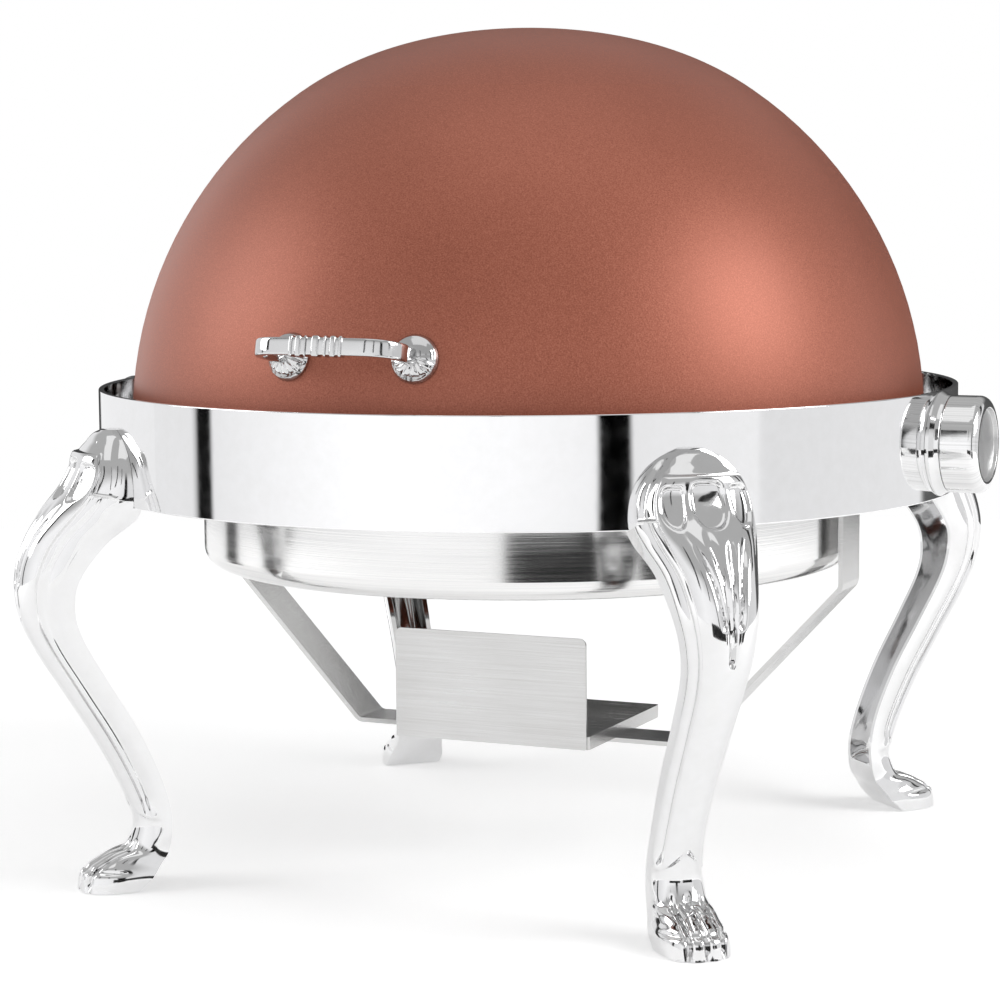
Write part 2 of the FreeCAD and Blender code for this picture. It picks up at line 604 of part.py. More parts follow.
def strap():
    """One flat strap: welded tabs, uprights past the pan, slanted arms and a level foot."""
    slant = math.atan2(STRAP_KNEE_Z - STRAP_BOTTOM_Z, STRAP_X - STRAP_FOOT_X)
    knee_shift = STRAP_T * math.tan((math.pi / 2 - slant) / 2)
    foot_shift = STRAP_T * math.tan(slant / 2)
    outer_bend_r = STRAP_BEND_R + STRAP_T
    outside = [(STRAP_TAB_X, RING_Z - STRAP_T, 0), (STRAP_X, RING_Z - STRAP_T, STRAP_TAB_BEND_R),
               (STRAP_X, STRAP_KNEE_Z, outer_bend_r), (STRAP_FOOT_X, STRAP_BOTTOM_Z, outer_bend_r)]
    inside = [(STRAP_TAB_X, RING_Z, 0), (STRAP_X - STRAP_T, RING_Z, STRAP_T),
              (STRAP_X - STRAP_T, STRAP_KNEE_Z + knee_shift, STRAP_BEND_R),
              (STRAP_FOOT_X - foot_shift, STRAP_BOTTOM_Z + STRAP_T, STRAP_BEND_R)]
    corners = outside + [(-x, z, r) for x, z, r in reversed(outside)]
    corners += [(-x, z, r) for x, z, r in inside] + list(reversed(inside))
    wire = rounded_wire(corners, lambda p: V(p.x, -STRAP_W / 2, p.y))
    band = Part.Face(wire).extrude(V(0, STRAP_W, 0))
    for _, side in SIDES:
        band = band.cut(tube_x(0, BOLT_R + FIT, STRAP_X - STRAP_T - 2, STRAP_X + 2, side))
    return one(band)


def fuel_tray():
    bottom = STRAP_BOTTOM_Z + STRAP_T
    depth = TRAY_BACK_Y - TRAY_FRONT_Y
    t = SHEET_T
    outer = Part.makeBox(2 * TRAY_HALF_X, depth, TRAY_LIP_H, V(-TRAY_HALF_X, TRAY_FRONT_Y, bottom))
    uprights = [e for e in outer.Edges if abs(e.BoundBox.ZLength - TRAY_LIP_H) < 1e-6]
    outer = outer.makeFillet(TRAY_CORNER_R, uprights)
    inner = Part.makeBox(2 * (TRAY_HALF_X - t), depth - 2 * t, TRAY_LIP_H,
                         V(-TRAY_HALF_X + t, TRAY_FRONT_Y + t, bottom + t))
    return one(outer.cut(inner))


def guard_plate():
    bottom = STRAP_BOTTOM_Z + STRAP_T
    outline = ((-GUARD_HALF_X, bottom, 1), (GUARD_HALF_X, bottom, 1),
               (GUARD_HALF_X, GUARD_TOP_Z, GUARD_CORNER_R), (-GUARD_HALF_X, GUARD_TOP_Z, GUARD_CORNER_R))
    wire = rounded_wire(outline, lambda p: V(p.x, TRAY_FRONT_Y - GUARD_T, p.y))
    return Part.Face(wire).extrude(V(0, GUARD_T, 0))


def support_ring():
    return turned(((RING_INNER_R, RING_Z, 0.4), (RING_OUTER_R, RING_Z, 0.4),
                   (RING_OUTER_R, RING_Z + RING_T, 0.8), (RING_INNER_R, RING_Z + RING_T, 0.8)))


# ---- build --------------------------------------------------------------------------------------
save("band_ring", [band_ring()])
rest_tab, rest_pad = lid_rest()
save("lid_rest_bracket", [rest_tab])
save("lid_rest_pad", [rest_pad])

screws, washers = [], []
leg_on_x = leg()
for name, angle in LEG_ANGLES:
    placed = leg_on_x.copy()
    placed.rotate(V(0, 0, 0), Z_AXIS, angle)
    save("leg_" + name, [placed])
    for z in LEG_SCREW_ZS:
        for piece, group in zip(leg_fastener(z), (screws, washers)):
            piece.rotate(V(0, 0, 0), Z_AXIS, angle)
            group.append(piece)
save("leg_screws", screws)
save("leg_washers", washers)

rivets = []
for name, side in SIDES:
    save("hub_base_" + name, [hub_base(side)])
    save("hub_cap_" + name, [hub_cap(side)])
    save("pivot_bolt_" + name, [pivot_bolt(side)])
    save("pivot_nut_" + name, [pivot_nut(side)])
    save("pivot_sleeve_" + name, [pivot_sleeve(side)])
    save("outer_spacer_" + name, [tube_x(BOLT_R + FIT, SLEEVE_R, JOURNAL_END_X, SPACER_END_X, side)])
    save("friction_washer_" + name, [tube_x(JOURNAL_R + FIT, BUSH_FLANGE_R, JOURNAL_START_X,
                                            JOURNAL_START_X + WASHER_T, side)])
    save("lid_pivot_plate_" + name, [pivot_plate(side)])
    save("lid_bushing_" + name, [bushing(side)])
    rivets += plate_rivets(side)
    save("handle_rosette_" + name, [handle_rosette(side)])
save("lid_plate_rivets", rivets)

save("lid_dome", [lid_dome()])
save("handle_bar", [handle_bar()])
fasteners = [handle_fastener(side) for _, side in SIDES]
save("handle_screws", [screw for screw, _ in fasteners])
save("handle_washers", [washer for _, washer in fasteners])

save("support_ring", [support_ring()])
save("bracket_strap", [strap()])
save("fuel_tray", [fuel_tray()])
save("guard_plate", [guard_plate()])
water_flange_z = RING_Z + RING_T + REST_GAP
save("water_pan", [pan(PAN_R, PAN_BOTTOM_Z, PAN_CORNER_R, water_flange_z, PAN_FLANGE_R)])
food_flange_z = water_flange_z + PAN_T + REST_GAP
save("food_pan", [pan(FOOD_R, FOOD_BOTTOM_Z, FOOD_CORNER_R, food_flange_z, FOOD_FLANGE_R)])
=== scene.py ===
import json
import math

import bmesh
import bpy
import numpy as np
from mathutils import Euler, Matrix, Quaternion, Vector


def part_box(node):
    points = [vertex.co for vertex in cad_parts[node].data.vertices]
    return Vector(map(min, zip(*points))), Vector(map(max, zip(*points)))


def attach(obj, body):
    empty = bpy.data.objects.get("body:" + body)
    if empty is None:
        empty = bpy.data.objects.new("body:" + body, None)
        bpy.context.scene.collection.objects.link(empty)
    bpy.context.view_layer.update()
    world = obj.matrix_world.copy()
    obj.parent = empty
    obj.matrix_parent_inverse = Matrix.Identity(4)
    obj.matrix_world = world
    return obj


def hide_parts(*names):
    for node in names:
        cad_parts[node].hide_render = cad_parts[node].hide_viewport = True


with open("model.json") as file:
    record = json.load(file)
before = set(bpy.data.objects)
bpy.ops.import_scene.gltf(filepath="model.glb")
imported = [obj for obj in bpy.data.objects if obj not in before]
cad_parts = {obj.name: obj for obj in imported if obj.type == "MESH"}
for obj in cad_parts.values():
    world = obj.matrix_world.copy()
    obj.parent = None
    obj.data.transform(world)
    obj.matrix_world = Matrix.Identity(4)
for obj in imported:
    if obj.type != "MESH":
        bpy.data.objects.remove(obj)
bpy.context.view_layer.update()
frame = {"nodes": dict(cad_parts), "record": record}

record = frame["record"]
AXIS_Z = record["behaviour"]["joints"][0]["pos_m"][2]
MM = 0.001


# ---- node helpers -------------------------------------------------------------------------------
class Shader:
    """A material's node tree with short ways to add the nodes that these finishes use."""

    def __init__(self, name):
        self.material = bpy.data.materials.new(name)
        self.material.use_nodes = True
        self.tree = self.material.node_tree
        self.bsdf = self.tree.nodes["Principled BSDF"]
        coords = self.tree.nodes.new("ShaderNodeTexCoord")
        self.place = coords.outputs["Object"]

    def put(self, **values):
        for name, value in values.items():
            self.bsdf.inputs[name.replace("_", " ")].default_value = value
        return self

    def link(self, out, socket):
        self.tree.links.new(out, socket)

    def math(self, kind, a, b=None):
        node = self.tree.nodes.new("ShaderNodeMath")
        node.operation = kind
        for i, value in enumerate((a, b)):
            if value is None:
                continue
            if isinstance(value, (int, float)):
                node.inputs[i].default_value = value
            else:
                self.link(value, node.inputs[i])
        return node.outputs[0]

    def reach(self, a, b):
        """The length of the vector whose two parts are a and b."""
        squares = self.math("ADD", self.math("MULTIPLY", a, a), self.math("MULTIPLY", b, b))
        return self.math("SQRT", squares)

    def split(self):
        node = self.tree.nodes.new("ShaderNodeSeparateXYZ")
        self.link(self.place, node.inputs[0])
        return node.outputs

    def join(self, x, y, z):
        node = self.tree.nodes.new("ShaderNodeCombineXYZ")
        for i, value in enumerate((x, y, z)):
            if isinstance(value, (int, float)):
                node.inputs[i].default_value = value
            else:
                self.link(value, node.inputs[i])
        return node.outputs[0]

    def noise(self, vector, scale, detail=2.0, rough=0.5, stretch=None):
        if stretch:
            mapping = self.tree.nodes.new("ShaderNodeMapping")
            mapping.inputs["Scale"].default_value = stretch
            self.link(vector, mapping.inputs["Vector"])
            vector = mapping.outputs[0]
        node = self.tree.nodes.new("ShaderNodeTexNoise")
        node.inputs["Scale"].default_value = scale
        node.inputs["Detail"].default_value = detail
        node.inputs["Roughness"].default_value = rough
        self.link(vector, node.inputs["Vector"])
        return node.outputs["Fac"]

    def ramp(self, fac, stops):
        node = self.tree.nodes.new("ShaderNodeValToRGB")
        ends = node.color_ramp.elements
        while len(ends) < len(stops):
            ends.new(0.5)
        for end, (where, colour) in zip(ends, stops):
            end.position = where
            end.color = (*colour, 1)
        self.link(fac, node.inputs["Fac"])
        return node.outputs["Color"]

    def spread(self, fac, low, high):
        """Stretches the middle of a noise's range over low to high."""
        return self.map_range(fac, 0.3, 0.7, low, high)

    def map_range(self, value, from_min, from_max, to_min, to_max):
        node = self.tree.nodes.new("ShaderNodeMapRange")
        node.inputs["From Min"].default_value = from_min
        node.inputs["From Max"].default_value = from_max
        node.inputs["To Min"].default_value = to_min
        node.inputs["To Max"].default_value = to_max
        self.link(value, node.inputs["Value"])
        return node.outputs["Result"]

    def bump(self, height, distance, strength):
        node = self.tree.nodes.new("ShaderNodeBump")
        node.inputs["Distance"].default_value = distance
        node.inputs["Strength"].default_value = strength
        self.link(height, node.inputs["Height"])
        return node.outputs[0]


def tone(value, tint=(1.0, 1.0, 1.0)):
    return tuple(value * t for t in tint)


# ---- finishes -----------------------------------------------------------------------------------
def copper_coating():
    """Satin metallic coating: a fine pinkish grain over a slowly varying copper brown."""
    s = Shader("copper_coating").put(Metallic=0.52, Coat_Weight=0.28, Coat_Roughness=0.44)
    grain = s.noise(s.place, 1500, 2.0, 0.6)
    drift = s.noise(s.place, 9, 2.0)
    mixed = s.math("ADD", s.math("MULTIPLY", grain, 0.8), s.math("MULTIPLY", drift, 0.2))
    s.link(s.ramp(mixed, ((0.30, (0.235, 0.060, 0.031)), (0.50, (0.325, 0.094, 0.053)),
                          (0.70, (0.44, 0.148, 0.092)))), s.bsdf.inputs["Base Color"])
    s.link(s.spread(grain, 0.40, 0.52), s.bsdf.inputs["Roughness"])
    s.link(s.bump(grain, 0.00006, 0.5), s.bsdf.inputs["Normal"])
    return s.material


def polished(name, value, low, high, wave_scale, wave_depth):
    """Mirror-bright steel or plate: slight waviness, hairlines and a little haze."""
    s = Shader(name).put(Metallic=1.0)
    wave = s.noise(s.place, wave_scale, 1.0)
    haze = s.noise(s.place, 140, 4.0, 0.6)
    s.link(s.ramp(haze, ((0.3, tone(value * 0.97)), (0.7, tone(value, (1, 1, 1.005))))),
           s.bsdf.inputs["Base Color"])
    s.link(s.spread(haze, low, high), s.bsdf.inputs["Roughness"])
    s.link(s.bump(wave, wave_depth, 0.6), s.bsdf.inputs["Normal"])
    return s.material


def turned_satin():
    """Brushed round the pan: fine rings on the wall and on the floor."""
    s = Shader("pan_satin").put(Metallic=1.0, Anisotropic=0.75)
    grain_way = s.tree.nodes.new("ShaderNodeTangent")
    grain_way.direction_type = "RADIAL"
    grain_way.axis = "Z"
    s.link(grain_way.outputs[0], s.bsdf.inputs["Tangent"])
    x, y, z = s.split()
    across = s.math("ADD", z, s.reach(x, y))
    rings = s.noise(s.join(s.math("MULTIPLY", x, 6), s.math("MULTIPLY", y, 6),
                           s.math("MULTIPLY", across, 1600)), 1.0, 4.0, 0.6)
    s.link(s.ramp(rings, ((0.3, tone(0.70)), (0.7, tone(0.84, (1, 0.995, 0.985))))),
           s.bsdf.inputs["Base Color"])
    s.link(s.spread(rings, 0.09, 0.15), s.bsdf.inputs["Roughness"])
    s.link(s.bump(rings, 0.00003, 0.35), s.bsdf.inputs["Normal"])
    return s.material


def brushed(name, value, stretch, low=0.24, high=0.40):
    """Sheet brushed one way, with long fine scratches."""
    s = Shader(name).put(Metallic=1.0)
    lines = s.noise(s.place, 1.0, 5.0, 0.65, stretch)
    cloud = s.noise(s.place, 22, 3.0)
    mixed = s.math("ADD", s.math("MULTIPLY", lines, 0.7), s.math("MULTIPLY", cloud, 0.3))
    s.link(s.ramp(mixed, ((0.3, tone(value * 0.84, (1, 0.99, 0.975))), (0.7, tone(value * 1.12)))),
           s.bsdf.inputs["Base Color"])
    s.link(s.spread(mixed, low, high), s.bsdf.inputs["Roughness"])
    s.link(s.bump(lines, 0.00008, 0.5), s.bsdf.inputs["Normal"])
    return s.material


HUB_FACE_X = 0.2490
HUB_DISH_R = 0.0186


def hub_finish():
    """Polished round the outside, and brushed from the middle outwards in the dish."""
    s = Shader("hub_finish").put(Metallic=1.0)
    x, y, z = s.split()
    height = s.math("SUBTRACT", z, AXIS_Z)
    radius = s.reach(y, height)
    out = s.math("GREATER_THAN", s.math("ABSOLUTE", x), HUB_FACE_X)
    dish = s.math("MULTIPLY", s.math("LESS_THAN", radius, HUB_DISH_R), out)
    turn = s.math("ARCTAN2", height, y)
    rays = s.noise(s.join(s.math("MULTIPLY", turn, 60), s.math("MULTIPLY", radius, 60), 0.0),
                   1.0, 4.0, 0.6)
    haze = s.noise(s.place, 160, 3.0)
    rough = s.math("ADD", s.spread(haze, 0.05, 0.11),
                   s.math("MULTIPLY", dish, s.spread(rays, 0.22, 0.36)))
    s.link(rough, s.bsdf.inputs["Roughness"])
    shade = s.math("SUBTRACT", rays, s.math("MULTIPLY", dish, 0.35))
    s.link(s.ramp(shade, ((0.05, tone(0.52)), (0.32, tone(0.66)), (0.6, tone(0.82)))),
           s.bsdf.inputs["Base Color"])
    s.link(s.bump(s.math("MULTIPLY", rays, dish), 0.00008, 0.5), s.bsdf.inputs["Normal"])
    return s.material


def moulded(name, dark, light, low, high, scale):
    """Moulded plastic or rubber, with a fine mould grain."""
    s = Shader(name).put(Metallic=0.0)
    grain = s.noise(s.place, scale, 3.0)
    s.link(s.ramp(grain, ((0.3, dark), (0.7, light))), s.bsdf.inputs["Base Color"])
    s.link(s.spread(grain, low, high), s.bsdf.inputs["Roughness"])
    s.link(s.bump(grain, 0.0001, 0.4), s.bsdf.inputs["Normal"])
    return s.material


FINISH = {
    "copper_coating": copper_coating(),
    "band_polished": polished("band_polished", 0.88, 0.035, 0.075, 10, 0.00035),
    "cast_polished": polished("cast_polished", 0.77, 0.05, 0.10, 45, 0.00030),
    "pan_satin": turned_satin(),
    "brushed_sheet": brushed("brushed_sheet", 0.60, (14, 1300, 1300), 0.17, 0.30),
    "fastener_steel": brushed("fastener_steel", 0.60, (500, 500, 500), 0.22, 0.36),
    "nylon": moulded("nylon", (0.74, 0.72, 0.66), (0.84, 0.83, 0.78), 0.42, 0.56, 700),
    "silicone": moulded("silicone", (0.018, 0.018, 0.018), (0.035, 0.035, 0.035), 0.60, 0.78, 900),
}
HUB = hub_finish()
# The handle's copy of the legs' cast polish has a darker base colour: painted reflection, standing
# in for the dark patches that its polish reflects.
HANDLE_CAST_PAINTED_DARK = polished("handle_cast_painted_dark_reflection", 0.63, 0.06, 0.13, 60, 0.00040)
SLOT_OF = {row["node"]: row["material_slot"] for row in record["subparts"]}


def dress(node_name, node):
    finish = HUB if node_name.startswith("hub_cap") else FINISH[SLOT_OF[node_name]]
    for entry in node.material_slots:
        entry.material = finish


for node_name, node in frame["nodes"].items():
    dress(node_name, node)


# ---- cast legs ----------------------------------------------------------------------------------
# Outer radius and height, inner radius and height, half width, in millimetres, head to sole.
LEG_STATIONS = np.array((
    (234.0, 236.0, 222.0, 236.0, 7.0),
    (242.0, 231.5, 222.0, 231.0, 17.0),
    (248.0, 224.0, 222.0, 223.0, 24.5),
    (250.0, 216.0, 222.0, 213.0, 28.8),
    (256.0, 206.0, 222.0, 201.0, 29.8),
    (266.0, 195.0, 224.5, 192.0, 27.0),
    (275.0, 181.0, 239.0, 179.5, 22.0),
    (280.0, 163.0, 251.5, 162.0, 18.6),
    (278.5, 143.5, 253.5, 147.0, 15.6),
    (270.5, 125.0, 249.5, 132.0, 13.8),
    (256.0, 101.5, 237.0, 109.5, 12.8),
    (240.5, 76.0, 221.5, 83.0, 12.2),
    (229.0, 53.5, 210.5, 58.5, 12.0),
    (223.3, 38.0, 205.5, 40.0, 12.8),
    (222.8, 29.0, 205.5, 28.0, 13.6),
    (227.0, 20.5, 207.5, 19.0, 14.0),
    (240.0, 15.5, 212.0, 13.0, 15.2),
    (249.5, 9.5, 217.0, 6.5, 17.0),
    (251.5, 0.0, 224.0, 0.0, 17.2),
))
LEG_FULLNESS = 0.72
LEG_WALL = 3.4
ACROSS = 144               # points over a section's front
INSIDE = 28                # points over its hollow
ROWS_PER_STATION = 14
SEAT_R = 228.05            # the band's outside, with a little room
SEAT_DEPTH = 0.055
SEAT_Z = 0.2259
SEAT_SEGMENTS = 720
LEG_SHARP = math.radians(50)


def smooth_step(value, low, high):
    t = np.clip((value - low) / (high - low), 0.0, 1.0)
    return t * t * (3 - 2 * t)


def hill(value, centre, width):
    return np.exp(-((value - centre) / width) ** 2)


def spline_rows(table, per):
    """The stations joined by a smooth curve through each of them."""
    padded = np.vstack((2 * table[0] - table[1], table, 2 * table[-1] - table[-2]))
    rows, marks = [], []
    for i in range(1, len(padded) - 2):
        p0, p1, p2, p3 = padded[i - 1:i + 3]
        for k in range(per):
            t = k / per
            rows.append(0.5 * (2 * p1 + (p2 - p0) * t + (2 * p0 - 5 * p1 + 4 * p2 - p3) * t * t
                               + (3 * p1 - p0 - 3 * p2 + p3) * t ** 3))
            marks.append(i - 1 + t)
    return np.array(rows + [table[-1]]), np.array(marks + [len(table) - 1.0])


def recess(side, height, centre, half_width, top, bottom):
    """1 inside a recess with a square top and a rounded bottom, and 0 outside it."""
    shoulder = bottom + 0.55 * (top - bottom)
    across = np.abs((side - centre) / half_width)
    above = np.clip((height - shoulder) / (top - shoulder), 0, None)
    below = np.clip((shoulder - height) / (shoulder - bottom), 0, None)
    reach = np.where(height > shoulder, (across ** 5 + above ** 5) ** 0.2,
                     (across ** 2.2 + below ** 2.2) ** (1 / 2.2))
    return 1 - smooth_step(reach, 0.80, 1.02)


def relief(side, mark, height):
    """How far the cast front stands in from its smooth shape, in millimetres."""
    edge = np.abs(side)
    depth = np.zeros_like(edge)
    # The head's broad chamfered rim stands back from the boss inside it.
    boss = smooth_step(mark, 1.60, 1.95) * (1 - smooth_step(edge, 0.79, 0.84))
    head = 1 - smooth_step(mark, 3.84, 3.96)
    depth = depth + 2.0 * (1 - boss) * head
    # Three recesses in the boss: a broad one between two narrow ones.
    for centre, half_width, top in ((-0.58, 0.19, 221.0), (0.0, 0.31, 223.0), (0.58, 0.19, 221.0)):
        depth = depth + 2.1 * recess(side, height, centre, half_width, top, 201.5)
    # A stepped border starts at a mitre under the rim and runs down both sides to the ankle.
    down = smooth_step(mark, 3.90, 4.00) * (1 - smooth_step(mark, 12.4, 13.2))
    depth = depth + 1.7 * smooth_step(edge, 0.79, 0.83) * down
    depth = depth + 0.6 * hill(edge, 0.92, 0.02) * down
    # Reeds start under the recesses: the middle grooves meet in a point on the knee.
    for start, finish, end in ((-0.50, -0.22, 7.2), (-0.20, -0.02, 8.1),
                               (0.20, 0.02, 8.1), (0.50, 0.22, 7.2)):
        along = np.clip((mark - 4.3) / (end - 4.3), 0, 1)
        width = 0.085 - 0.03 * along
        strength = smooth_step(mark, 4.2, 5.6) * (1 - smooth_step(mark, end - 0.10, end + 0.04))
        groove = np.exp(-(np.abs(side - start - (finish - start) * along) / width) ** 1.5)
        depth = depth + (1.4 + 1.2 * along) * groove * strength
    # A crease runs down the lower leg to a pointed arch over the ankle.
    crease = smooth_step(mark, 8.6, 9.4) * (1 - smooth_step(mark, 11.6, 12.2))
    fall = smooth_step(side, -0.34, -0.30) * (1 - smooth_step(side, -0.30, 0.4))
    depth = depth + 0.45 * fall * crease
    arch = 12.45 + 0.9 * edge ** 1.1
    under_arch = smooth_step(mark, arch - 0.05, arch + 0.05)
    depth = depth + 0.8 * under_arch * (1 - smooth_step(mark, 13.6, 14.6))
    # Four toes, with a groove between each two, knuckles and a cleft above each claw.
    foot = smooth_step(mark, 14.3, 15.4)
    for centre in (-0.52, 0.0, 0.52):
        depth = depth + 3.0 * hill(side, centre, 0.08) * foot
    ridge = np.abs(np.cos(side * math.pi / 0.52 + math.pi / 2)) ** 0.8
    depth = depth - 0.8 * hill(mark, 15.5, 0.4) * ridge * foot
    depth = depth + 0.9 * hill(mark, 16.75, 0.16) * ridge * foot
    return depth


def leg_mesh():
    """One leg, standing out along +X, hollow behind from the knee to the ankle."""
    rows, marks = spline_rows(LEG_STATIONS, ROWS_PER_STATION)
    angle = np.linspace(0, math.pi, ACROSS + 1)
    shape_x = np.sign(np.cos(angle)) * np.abs(np.cos(angle)) ** LEG_FULLNESS
    shape_y = np.sin(angle).clip(0) ** LEG_FULLNESS
    front = np.zeros((len(rows), ACROSS + 1, 3))
    inner = np.zeros((len(rows), INSIDE + 1, 3))
    in_angle = np.linspace(math.pi, 0, INSIDE + 1)
    in_x = np.sign(np.cos(in_angle)) * np.abs(np.cos(in_angle)) ** LEG_FULLNESS
    in_y = np.sin(in_angle).clip(0) ** LEG_FULLNESS
    for i, (outer_r, outer_z, inner_r, inner_z, half) in enumerate(rows):
        base = np.array((inner_r, 0, inner_z))
        depth = np.array((outer_r, 0, outer_z)) - base
        length = np.linalg.norm(depth)
        out = depth / length
        front[i] = base + np.outer(shape_y * length, out) + np.outer(shape_x * half, (0, 1, 0))
        hollow = smooth_step(marks[i], 5.9, 6.5) * (1 - smooth_step(marks[i], 13.6, 14.1))
        rise = max(length - LEG_WALL, 0.0) * hollow
        in_half = half - LEG_WALL * 0.8
        inner[i] = base + np.outer(in_y * rise, out) + np.outer(in_x * in_half, (0, 1, 0))
    along = np.gradient(front, axis=0)
    around = np.gradient(front, axis=1)
    normal = np.cross(around, along)
    normal /= np.linalg.norm(normal, axis=2, keepdims=True) + 1e-9
    half_way = len(rows) // 2
    inner_r, inner_z = rows[half_way][2:4]
    outward = front[half_way, ACROSS // 2] - (inner_r, 0, inner_z)
    if normal[half_way, ACROSS // 2] @ outward < 0:
        normal = -normal
    side = np.broadcast_to(shape_x, front.shape[:2])
    mark = np.broadcast_to(marks[:, None], front.shape[:2])
    fade = smooth_step(1 - np.abs(side), 0.0, 0.07) * smooth_step(mark, 0.3, 1.2)
    sole = 1 - smooth_step(mark, 17.4, 18.0) * 0.6
    front = front - normal * (relief(side, mark, front[:, :, 2]) * fade * sole)[:, :, None]
    front[:, :, 2] = front[:, :, 2].clip(0.0)
    ring = np.concatenate((front, inner), axis=1)
    count = ring.shape[1]
    bm = bmesh.new()
    verts = [[bm.verts.new(Vector(p) * MM) for p in row] for row in ring]
    for low, high in zip(verts, verts[1:]):
        for j in range(count):
            k = (j + 1) % count
            bm.faces.new((low[j], low[k], high[k], high[j]))
    bm.faces.new(verts[0])
    bm.faces.new(list(reversed(verts[-1])))
    bmesh.ops.remove_doubles(bm, verts=bm.verts, dist=1e-6)
    bmesh.ops.triangulate(bm, faces=[f for f in bm.faces if len(f.verts) > 4])
    bmesh.ops.recalc_face_normals(bm, faces=bm.faces)
    mesh = bpy.data.meshes.new("cast_leg")
    bm.to_mesh(mesh)
    bm.free()
    return mesh


def seat_cut(piece):
    """Bores the back of the leg's head to the band's outside."""
    bpy.ops.mesh.primitive_cylinder_add(vertices=SEAT_SEGMENTS, radius=SEAT_R * MM,
                                        depth=SEAT_DEPTH, location=(0, 0, SEAT_Z))
    tool = bpy.context.object
    cut = piece.modifiers.new("seat", "BOOLEAN")
    cut.operation = "DIFFERENCE"
    cut.solver = "EXACT"
    cut.object = tool
    graph = bpy.context.evaluated_depsgraph_get()
    mesh = bpy.data.meshes.new_from_object(piece.evaluated_get(graph))
    piece.modifiers.clear()
    piece.data = mesh
    bpy.data.objects.remove(tool)
    return mesh


def show(name, mesh, finish):
    """A smooth-shaded object in the scene, with one material."""
    piece = bpy.data.objects.new(name, mesh)
    bpy.context.scene.collection.objects.link(piece)
    mesh.materials.clear()
    mesh.materials.append(finish)
    for face in mesh.polygons:
        face.use_smooth = True
    return piece


def add_legs():
    first = show("cast_leg_front_left", leg_mesh(), FINISH["cast_polished"])
    mesh = seat_cut(first)
    bpy.data.objects.remove(first)
    for name in ("front_left", "front_right", "rear_left", "rear_right"):
        low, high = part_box("leg_" + name)
        centre = (low + high) / 2
        leg = show("cast_leg_" + name, mesh.copy(), FINISH["cast_polished"])
        leg.data.transform(Euler((0, 0, LEG_AZIMUTH[name])).to_matrix().to_4x4())
        leg.data.set_sharp_from_angle(angle=LEG_SHARP)
        assert leg.data.vertices[0].co.xy.dot(centre.xy) > 0, "a leg stands on the wrong side"
        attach(leg, "stand")
        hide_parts("leg_" + name)


DOME_CENTRE_Z = 0.233
ROSETTE_SEGMENTS = 144
ROSETTE_RINGS = 44
ROSETTE_R = 0.0118
ROSETTE_RISE = 0.0062
ROSETTE_GAP = 0.0001       # from the dome to the rosette's rim plane
ROSETTE_SINK = 0.0004      # how far the middle of the back is let in


def rosette_mesh(centre, out, up, radius, rise):
    """A domed rosette: a plain upper half, leaf ridges below, and flat where it meets the lid."""
    across = up.cross(out).normalized()
    bm = bmesh.new()
    rings = []
    for i in range(1, ROSETTE_RINGS + 1):
        r = i / ROSETTE_RINGS
        ring = []
        for j in range(ROSETTE_SEGMENTS):
            a = 2 * math.pi * j / ROSETTE_SEGMENTS
            lower = min(max((-math.sin(a) + 0.15) / 0.5, 0.0), 1.0)
            body = rise * (1 - r ** 2.6) ** 0.75
            leaves = abs(math.sin(6.5 * a + 1.6 * r)) ** 0.6 * min(r / 0.3, 1.0) * (1 - r ** 6)
            vein = 0.5 + 0.5 * math.cos(26 * a + 3.2 * r)
            lip = math.exp(-((r - 0.90) / 0.035) ** 2)
            pattern = 0.75 * leaves + 0.16 * vein * r * (1 - r ** 6)
            height = body + MM * (lower * pattern + 0.3 * lip)
            if r == 1:
                height = 0.0
            spot = centre + across * (radius * r * math.cos(a)) + up * (radius * r * math.sin(a))
            ring.append(bm.verts.new(spot + out * height))
        rings.append(ring)
    peak = bm.verts.new(centre + out * rise)
    foot = bm.verts.new(centre - out * ROSETTE_SINK)
    for j in range(ROSETTE_SEGMENTS):
        k = (j + 1) % ROSETTE_SEGMENTS
        bm.faces.new((peak, rings[0][j], rings[0][k]))
        bm.faces.new((foot, rings[-1][k], rings[-1][j]))
        for inner, outer in zip(rings, rings[1:]):
            bm.faces.new((inner[j], outer[j], outer[k], inner[k]))
    bmesh.ops.recalc_face_normals(bm, faces=bm.faces)
    mesh = bpy.data.meshes.new("rosette")
    bm.to_mesh(mesh)
    bm.free()
    return mesh


def add_rosettes():
    dome_low, dome_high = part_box("lid_dome")
    dome_r = (dome_high.x - dome_low.x) / 2
    for name in ("left", "right"):
        low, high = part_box("handle_rosette_" + name)
        middle = (low + high) / 2
        out = (middle - Vector((0, 0, DOME_CENTRE_Z))).normalized()
        up = Vector((0, 0, 1)) - out * out.z
        up.normalize()
        centre = Vector((0, 0, DOME_CENTRE_Z)) + out * (dome_r + ROSETTE_GAP)
        mesh = rosette_mesh(centre, out, up, ROSETTE_R, ROSETTE_RISE)
        piece = show("rosette_" + name, mesh, HANDLE_CAST_PAINTED_DARK)
        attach(piece, "lid")
        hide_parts("handle_rosette_" + name)


BAR_HALF_H = 0.0041
BAR_HALF_T = 0.0023
BAR_REACH = 0.032          # from the dome to the bar's middle
BAR_BEND = 0.014
BAR_FOOT = 0.0045
BAR_SIDE_POINTS = 9
BAR_SQUARENESS = 0.35      # 1 is an oval section, and 0 a sharp rectangle
BAR_LEG_ROWS = 5
BAR_BEND_ROWS = 12
BAR_BOW_ROWS = 260
BAR_SHARP = math.radians(40)
# Each moulding's degrees from the middle, and its half width.
BEADS = ((0.0, 0.46), (1.2, 0.15), (2.1, 0.34), (3.0, 0.20))
BEAD_PROUD = 0.0008


def bead_height(angle):
    """How far the mouldings stand out of the bar, by the degrees from its middle."""
    proud = 0.0
    for centre, half_width in BEADS:
        off = abs(abs(angle) - centre) / half_width
        proud = max(proud, 1 - off ** 6)
    return BEAD_PROUD * max(proud, 0.0)


